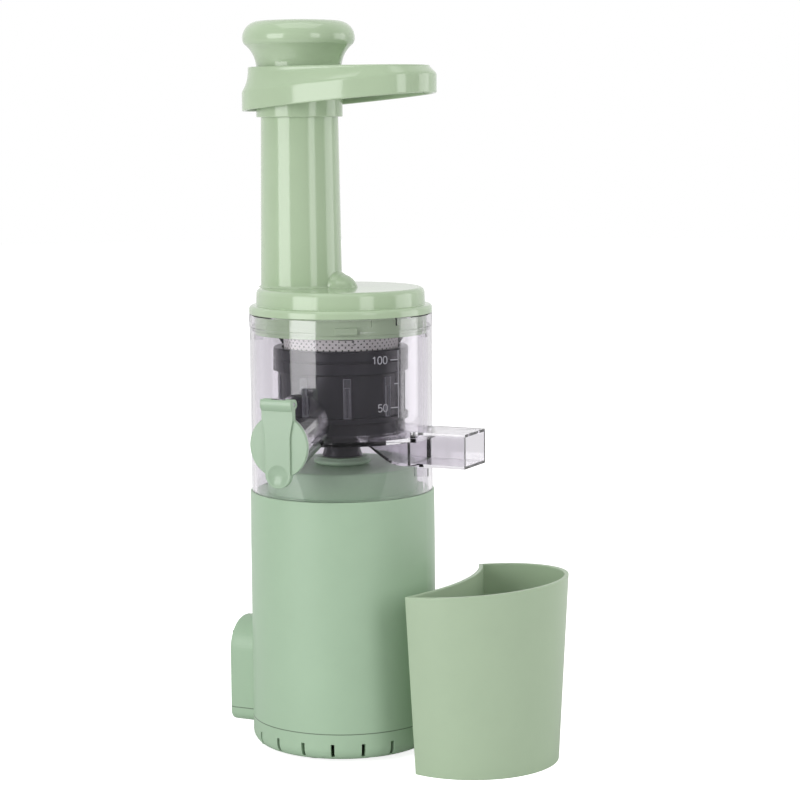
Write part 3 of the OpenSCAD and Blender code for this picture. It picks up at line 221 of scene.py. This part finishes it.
def moulded(
    name,
    colour,
    roughness,
    grain=(0.0006, 0.000004),
    wave=0.0001,
    spread=0.02,
    coat=0.0,
    shine=0.5,
    edge=0.0005,
    edge_highlight=0.12,
):
    """Moulded plastic: the colour runs by the share spread either side of itself with the skin's tone, the
    roughness by a tenth with it, the skin's height bends the normal, and sharp edges look rounded to the
    edge radius and carry a painted highlight: their colour is made lighter by the given share. Grain is its
    size and depth in metres."""
    material, tree, surface = new_material(name)
    surface.inputs["Specular IOR Level"].default_value = shine
    surface.inputs["Coat Weight"].default_value = coat
    surface.inputs["Coat Roughness"].default_value = 0.06
    skin = shader_node(
        tree,
        "Group",
        node_tree=skin_group,
        Grain_Size=grain[0],
        Grain_Depth=grain[1],
        Wave_Depth=wave,
        Edge_Radius=edge,
    ).outputs
    darker, lighter = ((*[c * (1 + share) for c in colour], 1) for share in (-spread, spread))
    tone = shader_node(tree, "MixRGB", skin["Tone"], darker, lighter).outputs[0]
    # Painted highlight: sharp edges are made lighter, as if rounded edges caught the lamps.
    painted_edge_highlight = ranged(tree, skin["Edge"], 1.0, 1.0 + edge_highlight)
    rough = ranged(tree, skin["Tone"], roughness * 0.9, roughness * 1.1)
    bump = shader_node(tree, "Bump", Strength=1.0, Distance=1.0, Height=skin["Height"], Normal=skin["Normal"])
    tree.links.new(scaled(tree, tone, painted_edge_highlight), surface.inputs["Base Color"])
    tree.links.new(rough, surface.inputs["Roughness"])
    tree.links.new(bump.outputs[0], surface.inputs["Normal"])
    return material


def dress(material, *nodes):
    """Puts one material on whole CAD nodes."""
    for node in nodes:
        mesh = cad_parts[node].data
        mesh.materials.clear()
        mesh.materials.append(material)


sage_satin = moulded("sage_satin_abs", (0.395, 0.545, 0.388), 0.40, (0.0007, 0.000007), wave=0.00005)
dress(sage_satin, "upper_housing", "bottom_cover", "drive_collar")

# The seam between housing and cover is a shadow line: at its height the colour falls to a third, and from
# shadow_core to shadow_end, in metres either side, it comes back.
seam_z, seam_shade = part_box("upper_housing")[0].z, 0.34
shadow_core, shadow_end = 0.0001, 0.0004
tree = sage_satin.node_tree
base_colour = tree.nodes["Principled BSDF"].inputs["Base Color"]
height = shader_node(tree, "SeparateXYZ", shader_node(tree, "TexCoord").outputs["Object"]).outputs["Z"]
off_seam = worked(tree, "ABSOLUTE", worked(tree, "SUBTRACT", height, seam_z))
shadow = ranged(tree, off_seam, seam_shade, 1.0, shadow_core, shadow_end)
tree.links.new(scaled(tree, base_colour.links[0].from_socket, shadow), base_colour)


# What the base stands on and is held by: five soft pads pressed into the cover, four zinc-plated screws
# sunk between them, and the rubber shaft seal and cord gland.
soft_rubber = moulded("dark_rubber", (0.035, 0.037, 0.04), 0.62, (0.0004, 0.000012), wave=0.0, spread=0.12)
dress(soft_rubber, "rubber_feet", "drive_seal", "cord_gland")


def worked_lines():
    """A node group for the lines that drawing and grinding leave, in object space: a noise of the given
    scale, drawn out along the axes whose stretch is small. Lines is the noise, and Height, in metres, is the
    noise times the depth."""
    group, given, result = node_group(
        "worked_lines",
        {"Scale": "Float", "Stretch": "Vector", "Depth": "Float"},
        {"Lines": "Float", "Height": "Float"},
    )
    place = shader_node(group, "TexCoord").outputs["Object"]
    drawn_out = shader_node(group, "Mapping", Vector=place, Scale=given["Stretch"]).outputs[0]
    lines = shader_node(group, "TexNoise", Vector=drawn_out, Scale=given["Scale"], Detail=3.0).outputs["Fac"]
    group.links.new(lines, result["Lines"])
    group.links.new(worked(group, "MULTIPLY", lines, given["Depth"]), result["Height"])
    return group


lines_group = worked_lines()


def metal(name, colour, roughness, stretch=(1.0, 1.0, 1.0), depth=0.000004, scale=900.0):
    """Bare metal: the worked lines vary the roughness by a quarter either way and bend the normal."""
    material, tree, surface = new_material(name)
    surface.inputs["Base Color"].default_value = (*colour, 1)
    surface.inputs["Metallic"].default_value = 1.0
    lines = shader_node(tree, "Group", node_tree=lines_group, Scale=scale, Stretch=stretch, Depth=depth)
    rough = ranged(tree, lines.outputs["Lines"], roughness * 0.75, roughness * 1.25)
    bump = shader_node(tree, "Bump", Strength=1.0, Distance=1.0, Height=lines.outputs["Height"])
    tree.links.new(rough, surface.inputs["Roughness"])
    tree.links.new(bump.outputs[0], surface.inputs["Normal"])
    return material


plated_steel = metal("zinc_plated_steel", (0.62, 0.62, 0.63), 0.34)
dress(plated_steel, "cover_screws", "gearbox_screws", "mount_screws", "motor_screws")


# The switch at the back: a black nylon rocker in its frame, left satin by the mould and set into the
# swelling low on the housing.
black_satin = moulded(
    "black_nylon", (0.022, 0.022, 0.024), 0.42, (0.0005, 0.000008), wave=0.00003, spread=0.10
)
dress(black_satin, "switch_frame", "rocker_switch")


# Inside the base: the motor's drawn steel can with its black end cap and its magnets, the wound armature and
# copper bars, the acetal gears in their white case, ground steel shafts and the little speed control board.
drawn_steel = metal("drawn_steel", (0.56, 0.57, 0.58), 0.30, stretch=(1.0, 1.0, 0.04), depth=0.000006)
dress(drawn_steel, "motor_can")
dress(black_satin, "motor_cap", "motor_carbons")
ferrite = moulded("ferrite", (0.040, 0.040, 0.043), 0.55, (0.0009, 0.00003), wave=0.0, spread=0.15)
dress(ferrite, "motor_magnets")
enamelled_copper = metal(
    "enamelled_copper", (0.58, 0.23, 0.09), 0.26, stretch=(1.0, 1.0, 0.06), depth=0.00006, scale=1500.0
)
dress(enamelled_copper, "armature", "commutator")
sintered = metal("sintered_bronze", (0.55, 0.37, 0.18), 0.42, depth=0.00001, scale=2600.0)
dress(sintered, "motor_bearings", "motor_pinion")
ground_steel = metal("ground_steel", (0.66, 0.66, 0.67), 0.16, stretch=(0.3, 0.3, 6.0), depth=0.000002)
dress(ground_steel, "motor_shaft", "layshaft_pin", "output_bearing", "drive_shaft")
acetal = moulded("natural_acetal", (0.74, 0.72, 0.66), 0.36, (0.0005, 0.000005), wave=0.00003)
dress(acetal, "gearbox_case", "gearbox_cover", "first_gear", "output_gear")
board_green = moulded(
    "lacquered_board", (0.030, 0.135, 0.060), 0.28, (0.0022, 0.00003), wave=0.0, spread=0.25, coat=0.4
)
dress(board_green, "control_board")


# The juicing bowl. One thick moulding in clear copolyester, very slightly lavender, with the round juice
# spout at the front and the rectangular pulp chute on the right moulded in one piece with it.
def clear_plastic(name, tint, roughness=0.02, shade=0.97):
    """Clear plastic that refracts for the rays that look at it and lets the lamps' rays through, a little
    weakened, so that what stands inside it is lit. Upright flow lines, a noise drawn out six times in z, bend
    the normal and lie on a skin whose roughness runs from its value to twice that."""
    material, tree, surface = new_material(name)
    surface.inputs["Base Color"].default_value = (*tint, 1)
    surface.inputs["IOR"].default_value = 1.57
    surface.inputs["Transmission Weight"].default_value = 1.0
    place = shader_node(tree, "TexCoord").outputs["Object"]
    drawn_out = shader_node(tree, "Mapping", Vector=place, Scale=(1.0, 1.0, 0.16)).outputs[0]
    flow = shader_node(tree, "TexNoise", Vector=drawn_out, Scale=110.0, Detail=2.0)
    flow_depth = 0.00005
    height = worked(tree, "MULTIPLY", flow.outputs["Fac"], flow_depth)
    handled = shader_node(tree, "TexNoise", Vector=place, Scale=40.0, Detail=5.0, Roughness=0.7)
    dull = ranged(tree, handled.outputs["Fac"], roughness, 2 * roughness, 0.4, 0.7)
    bump = shader_node(tree, "Bump", Strength=1.0, Distance=1.0, Height=height)
    tree.links.new(bump.outputs[0], surface.inputs["Normal"])
    tree.links.new(dull, surface.inputs["Roughness"])
    through = shader_node(tree, "BsdfTransparent", Color=(shade, shade, shade, 1))
    shadow_ray = shader_node(tree, "LightPath").outputs["Is Shadow Ray"]
    pick = shader_node(tree, "MixShader", shadow_ray, surface.outputs[0], through.outputs[0])
    tree.links.new(pick.outputs[0], tree.nodes["Material Output"].inputs["Surface"])
    return material


clear_bowl = clear_plastic("clear_copolyester", (0.825, 0.803, 0.842))
dress(clear_bowl, "juicing_bowl")


# The measuring scale, printed in pale ink on the bowl between the spout and the chute: an upright line, ticks
# to the left of it and plain numbers beside the two long ticks.
def evenly(corners, step=0.15):
    """Points every step millimetres along straight lines between corners."""
    corners = np.array(corners, float)
    run = np.concatenate([[0], np.cumsum(np.hypot(*np.diff(corners, axis=0).T))])
    at = np.linspace(0, run[-1], int(run[-1] / step) + 2)
    return np.stack([np.interp(at, run, corners[:, k]) for k in (0, 1)], 1)


def printed(name, strokes, width, radius, start):
    """Flat strokes wrapped round a cylinder. A stroke is a row of points (s, z) in millimetres; its edges lie
    half a width either side along its normal, and s becomes the angle start + s / radius."""
    verts, faces, count = [], [], 0
    for stroke in strokes:
        heading = np.gradient(stroke, axis=0)
        across = np.stack([-heading[:, 1], heading[:, 0]], 1) / np.hypot(*heading.T)[:, None] * width / 2
        edges = np.concatenate([stroke + across, stroke - across])
        angle = start + edges[:, 0] / radius
        verts.append(np.stack([radius * np.cos(angle), radius * np.sin(angle), edges[:, 1]], 1))
        n = len(stroke)
        faces += [(count + i, count + n + i, count + n + i + 1, count + i + 1) for i in range(n - 1)]
        count += 2 * n
    mesh = bpy.data.meshes.new(name)
    mesh.from_pydata((np.concatenate(verts) * 0.001).tolist(), [], faces)
    piece = bpy.data.objects.new(name, mesh)
    bpy.context.collection.objects.link(piece)
    return piece


round_angle = np.linspace(0, 2 * np.pi, 41)
circle = np.stack([np.cos(round_angle), np.sin(round_angle)], 1)
digit_half = np.array([1.15, 1.95])
nought = (np.sign(circle) * np.abs(circle) ** 0.8 + 1) * digit_half
one = evenly([(0.4, 3.0), (1.4, 3.9), (1.4, 0.0)])
belly = np.radians(np.linspace(140, -145, 24))
bowed = np.stack([1.1 + 1.2 * np.cos(belly), 1.22 + 1.2 * np.sin(belly)], 1)
five = np.concatenate([evenly([(2.2, 3.9), (0.35, 3.9), (0.2, 2.05)]), bowed])

line_foot, line_top = 190.2, 227.0
fifty_z, hundred_z = 196.0, 222.0
long_tick, short_tick = 5.2, 2.6
digit_step, digit_drop = 3.2, 1.8
bowl_face, ink_lift, ink_width = 50.7, 0.09, 0.55
line_angle = math.radians(-26.0)
strokes = [evenly([(0, line_foot), (0, line_top)])]
for z, length in ((fifty_z, long_tick), ((fifty_z + hundred_z) / 2, short_tick), (hundred_z, long_tick)):
    strokes.append(evenly([(0, z), (-length, z)]))
for z, digits in ((fifty_z, (five, nought)), (hundred_z, (one, nought, nought))):
    for k, digit in enumerate(digits):
        strokes.append(digit + (-digit_step * (2 + len(digits) - k), z - digit_drop))
graduation = printed("graduation", strokes, ink_width, bowl_face + ink_lift, line_angle)
ink = moulded("pale_ink", (0.36, 0.35, 0.39), 0.5, (0.0003, 0.000004), wave=0.0, spread=0.08)
graduation.data.materials.append(ink)
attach(graduation, "bowl")


# What turns and strains in the bowl: auger, strainer frame and brush holder in charcoal glass-filled
# mouldings, smoky silicone wipers in the brush, and the band of perforated steel that the juice runs through.
charcoal = moulded(
    "charcoal_moulding",
    (0.026, 0.025, 0.031),
    0.24,
    (0.0006, 0.000005),
    wave=0.00006,
    spread=0.10,
    shine=0.4,
)
dress(charcoal, "bowl_gland", "strainer_frame", "auger", "brush_holder")
dress(acetal, "brush_idler")
dress(ground_steel, "idler_pin", "auger_pin")
# The wipers' outlines carry a strong painted highlight: at their edges the colour grows to four and a half
# times its own.
smoky = moulded(
    "smoky_silicone",
    (0.075, 0.075, 0.085),
    0.30,
    (0.0005, 0.000006),
    wave=0.00004,
    spread=0.05,
    edge=0.0008,
    edge_highlight=3.5,
)
dress(smoky, "brush_wipers")


def perforated(name, radius, count, hole, colour, behind):
    """Pale sheet with count round holes to a row: across the sheet the pattern runs with the angle about the
    axis times the radius over the pitch, up it with z over the row height, half the pitch, and every other
    row is shifted by half a pitch. The holes are painted, not cut: within a hole's radius of the nearest
    cell's centre the colour is painted shade, the dark behind the sheet, which holes wider than they are deep
    show from every side."""
    material = metal(name, colour, 0.45, stretch=(1.0, 1.0, 0.2))
    tree = material.node_tree
    surface = tree.nodes["Principled BSDF"]
    # Metallic is off: the steel's own pale grey and the brightness of its reflections are painted together
    # into a near-white matt colour.
    surface.inputs["Metallic"].default_value = 0.0
    pitch = 2 * math.pi * radius / count
    place = shader_node(tree, "SeparateXYZ", shader_node(tree, "TexCoord").outputs["Object"]).outputs

    def from_centre(cells, size):
        part = worked(tree, "SUBTRACT", worked(tree, "FRACT", cells), 0.5)
        away = worked(tree, "MULTIPLY", part, size)
        return worked(tree, "MULTIPLY", away, away)

    around = worked(tree, "MULTIPLY", worked(tree, "ARCTAN2", place["Y"], place["X"]), radius / pitch)
    up = worked(tree, "DIVIDE", place["Z"], pitch / 2)
    shift = worked(tree, "MULTIPLY", worked(tree, "MODULO", worked(tree, "FLOOR", up), 2.0), 0.5)
    across = from_centre(worked(tree, "ADD", around, shift), pitch)
    far = worked(tree, "SQRT", worked(tree, "ADD", across, from_centre(up, pitch / 2)))
    sheet = ranged(tree, far, 0.0, 1.0, hole * 0.85, hole * 1.15)
    tone = shader_node(tree, "MixRGB", sheet, (*behind, 1), (*colour, 1))
    tree.links.new(tone.outputs[0], surface.inputs["Base Color"])
    return material


# The near-white colour holds a painted reflection of the steel, and behind is the painted shade seen in the
# holes.
sieve = perforated(
    "perforated_steel",
    radius=0.0308,
    count=58,
    hole=0.00045,
    colour=(0.96, 0.93, 0.91),
    behind=(0.012, 0.012, 0.013),
)
dress(sieve, "strainer_mesh")


# The lid with its feed tube and the pusher: glossy ABS mouldings from polished moulds. The lid turns into
# the bowl's bayonet, and the pusher slides in the tube.
sage_gloss = moulded(
    "sage_gloss_abs",
    (0.455, 0.577, 0.394),
    0.12,
    (0.0006, 0.0000012),
    wave=0.00012,
    spread=0.015,
    shine=0.66,
    edge_highlight=0.18,
)
dress(sage_gloss, "lid", "pusher_stem", "pusher_knob")
dress(acetal, "lid_bush")


# The hopper tray is one hollow moulding in the same gloss, open from below: a shallow dish in an oval rim, a
# hollowed flank down to a slanting band, and a sleeve over the feed tube. Its sizes are in millimetres.
def oval(half_l, half_w, end_r, inset, turn):
    """Points of an oval whose outward normals have the angles turn: ends of radius end_r about (+-e, 0), long
    sides about (0, -+c) that touch them, all drawn in by inset. With e = half_l - end_r and
    b = half_w - end_r, c = (e^2 - b^2) / (2 b)."""
    e, b = half_l - end_r, half_w - end_r
    c = (e * e - b * b) / (2 * b)
    x, y = np.cos(turn), np.sin(turn)
    on_side = np.abs(y) * e > np.abs(x) * c
    reach = np.where(on_side, half_w + c, end_r) - inset
    centre = np.where(on_side, [0 * x, -c * np.sign(y)], [e * np.sign(x), 0 * y])
    return centre.T + reach[:, None] * np.stack([x, y], 1)


tray_foot, tray_top = (1000 * corner.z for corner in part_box("hopper_tray"))
half_long, half_wide = (1000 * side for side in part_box("hopper_tray")[1][:2])
tube_end = 1000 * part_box("lid")[1].z
tube_x, bore_r, tube_r, sleeve_r = -24.3, 18.8, 21.9, 24.0
shoulder_z, band_foot = tube_end + 1.6, tube_end - 0.2
band_end_r, band_tilt = 28.0, math.radians(4.9)
rim_end_r, rim_in, rim_longer = 27.6, 4.8, 0.8
wall = 2.2
band_h, hollow_h, dish_h = 10.6, 3.4, 5.4
hollow_power, hollow_x, straight_x = 2.4, -50, 45
joint, lip_r, rim_outer_r, rim_inner_r, dish_fillet = 1.0, 0.6, 0.8, 0.7, 1.2


def tray_rings(turn):
    """Closed rows of points, one ring after the other round the moulding's section. on(xy, h) lifts a ring
    onto the band's foot raised by h: z = band_foot + h / cos(band_tilt) + x tan(band_tilt). The flank draws
    in from the band to the rim by 1 - (1 - u)^p while it rises evenly with u; p falls from hollow_power at
    the tube's end of the tray, where the flank is hollow, to 1 at the far end, where it is straight."""
    rim_foot, ceiling = tray_top - rim_outer_r, band_h - wall
    coarse_arc, fine_arc = np.radians([0, 30, 60, 90]), np.radians([0, 22, 45, 67, 90])

    def band(inset):
        return oval(half_long, half_wide, band_end_r, inset, turn)

    def rim(inset):
        return oval(half_long - rim_in + rim_longer, half_wide - rim_in, rim_end_r, inset, turn)

    def hole(radius):
        return np.stack([radius * np.cos(turn) + tube_x, radius * np.sin(turn)], 1)

    def at(xy, z):
        return np.column_stack([xy, np.broadcast_to(z, len(xy))])

    def on(xy, h):
        return at(xy, band_foot + h / math.cos(band_tilt) + xy[:, 0] * math.tan(band_tilt))

    def flank(u):
        low = on(band(0), band_h)
        power = np.interp(low[:, 0], (hollow_x, straight_x), (hollow_power, 1.0))
        drawn = (1 - (1 - u) ** power)[:, None]
        return at(low[:, :2] * (1 - drawn) + rim(0) * drawn, low[:, 2] * (1 - u) + rim_foot * u)

    # The bore and the sleeve's foot. Offsets of up to half a millimetre, here and below, break the corners.
    rings = [at(hole(bore_r), shoulder_z), at(hole(bore_r), tube_end), at(hole(tube_r), tube_end)]
    rings += [at(hole(tube_r), tray_foot + 0.5), at(hole(tube_r + 0.4), tray_foot)]
    rings += [at(hole(sleeve_r - 0.4), tray_foot), at(hole(sleeve_r), tray_foot + 0.4)]
    # The hollow under the dish and behind the band
    rings += [on(hole(sleeve_r), hollow_h - 0.3), on(hole(sleeve_r + 0.3), hollow_h)]
    rings += [on(rim(0.2), hollow_h), on(rim(-0.2), hollow_h + 0.4)]
    rings += [on(rim(-0.2), ceiling - 0.2), on(rim(-0.5), ceiling)]
    rings += [on(band(wall + 0.3), ceiling), on(band(wall), ceiling - 0.3), on(band(wall), 1.0)]
    # The band's rounded lip and its face
    rings += [on(band(wall / 2 * (1 + math.cos(a))), lip_r * (1 - math.sin(a))) for a in coarse_arc]
    rings += [on(band(lip_r * (1 - math.sin(a))), lip_r * (1 - math.cos(a))) for a in coarse_arc]
    rings += [on(band(0), lip_r + 0.3), on(band(0), band_h - joint - 0.3)]
    # The flank, which a quadratic curve joins to the band
    start, corner = on(band(0), band_h - joint), on(band(0), band_h)
    first = joint / (rim_foot - corner[:, 2])
    end = flank(first)
    rings += [(1 - t) ** 2 * start + 2 * t * (1 - t) * corner + t * t * end for t in np.linspace(0, 1, 6)]
    rings += [flank(first + (1 - first) * u) for u in np.linspace(0, 1, 13)[1:]]
    # The rounded rim and the dish
    for a in fine_arc[1:]:
        rings.append(at(rim(rim_outer_r * (1 - math.cos(a))), rim_foot + rim_outer_r * math.sin(a)))
    for a in fine_arc:
        inset, drop = wall - rim_inner_r * (1 - math.sin(a)), rim_inner_r * (1 - math.cos(a))
        rings.append(at(rim(inset), tray_top - drop))
    rings += [at(rim(wall), tray_top - rim_inner_r - 0.4), on(rim(wall), dish_h + dish_fillet + 0.4)]
    for a in fine_arc:
        inset, height = wall + dish_fillet * (1 - math.cos(a)), dish_h + dish_fillet * (1 - math.sin(a))
        rings.append(on(rim(inset), height))
    rings += [on(hole(sleeve_r + 0.5), dish_h), on(hole(sleeve_r + 0.15), dish_h - 0.1)]
    rings += [on(hole(sleeve_r), dish_h - 0.4), at(hole(sleeve_r), shoulder_z)]
    return np.array(rings) * 0.001


# The columns stand closer on the long sides, whose arcs begin at this angle.
side_from = 66.4
degrees = [np.linspace(-side_from, side_from, 61), np.linspace(side_from, 180 - side_from, 41)]
degrees += [d + 180 for d in degrees]
turn = np.radians(np.unique(np.round(np.mod(np.concatenate(degrees), 360), 3)))
rings = tray_rings(turn)
rows, columns = rings.shape[:2]
i, j = np.meshgrid(np.arange(rows), np.arange(columns), indexing="ij")
below, beside = (i + 1) % rows, (j + 1) % columns
quads = np.stack([i * columns + j, below * columns + j, below * columns + beside, i * columns + beside], 2)
tray_mesh = bpy.data.meshes.new("tray_moulding")
tray_mesh.from_pydata(rings.reshape(-1, 3).tolist(), [], quads.reshape(-1, 4).tolist())
tray_mesh.shade_smooth()
tray_mesh.set_sharp_from_angle(angle=math.radians(36))
tray_mesh.materials.append(sage_gloss)
tray = bpy.data.objects.new("tray_moulding", tray_mesh)
bpy.context.collection.objects.link(tray)
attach(tray, "tray")
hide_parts("hopper_tray")


# The spout's flap: a round cap on a strap, moulded in one piece in a mint green ABS, with a silicone seal
# behind it, and hinged on a steel pin in the spout's ear.
mint_gloss = moulded(
    "mint_gloss_abs", (0.360, 0.488, 0.354), 0.20, (0.0006, 0.000002), spread=0.015, edge_highlight=0.25
)
dress(mint_gloss, "juice_flap")
silicone = moulded("pale_silicone", (0.60, 0.62, 0.62), 0.48, (0.0005, 0.000006), wave=0.00004)
dress(silicone, "flap_seal")
dress(ground_steel, "flap_pin")


# The pulp container: a crescent cup with thin walls, moulded satin like the base but a little yellower. It
# stands loose on the table beside the base.
# Its rim and edges carry a painted highlight, up to 28 per cent lighter than its colour.
container_satin = moulded(
    "container_satin", (0.430, 0.546, 0.382), 0.36, (0.0007, 0.000006), wave=0.00008, edge=0.0011, edge_highlight=0.28
)
dress(container_satin, "pulp_container")
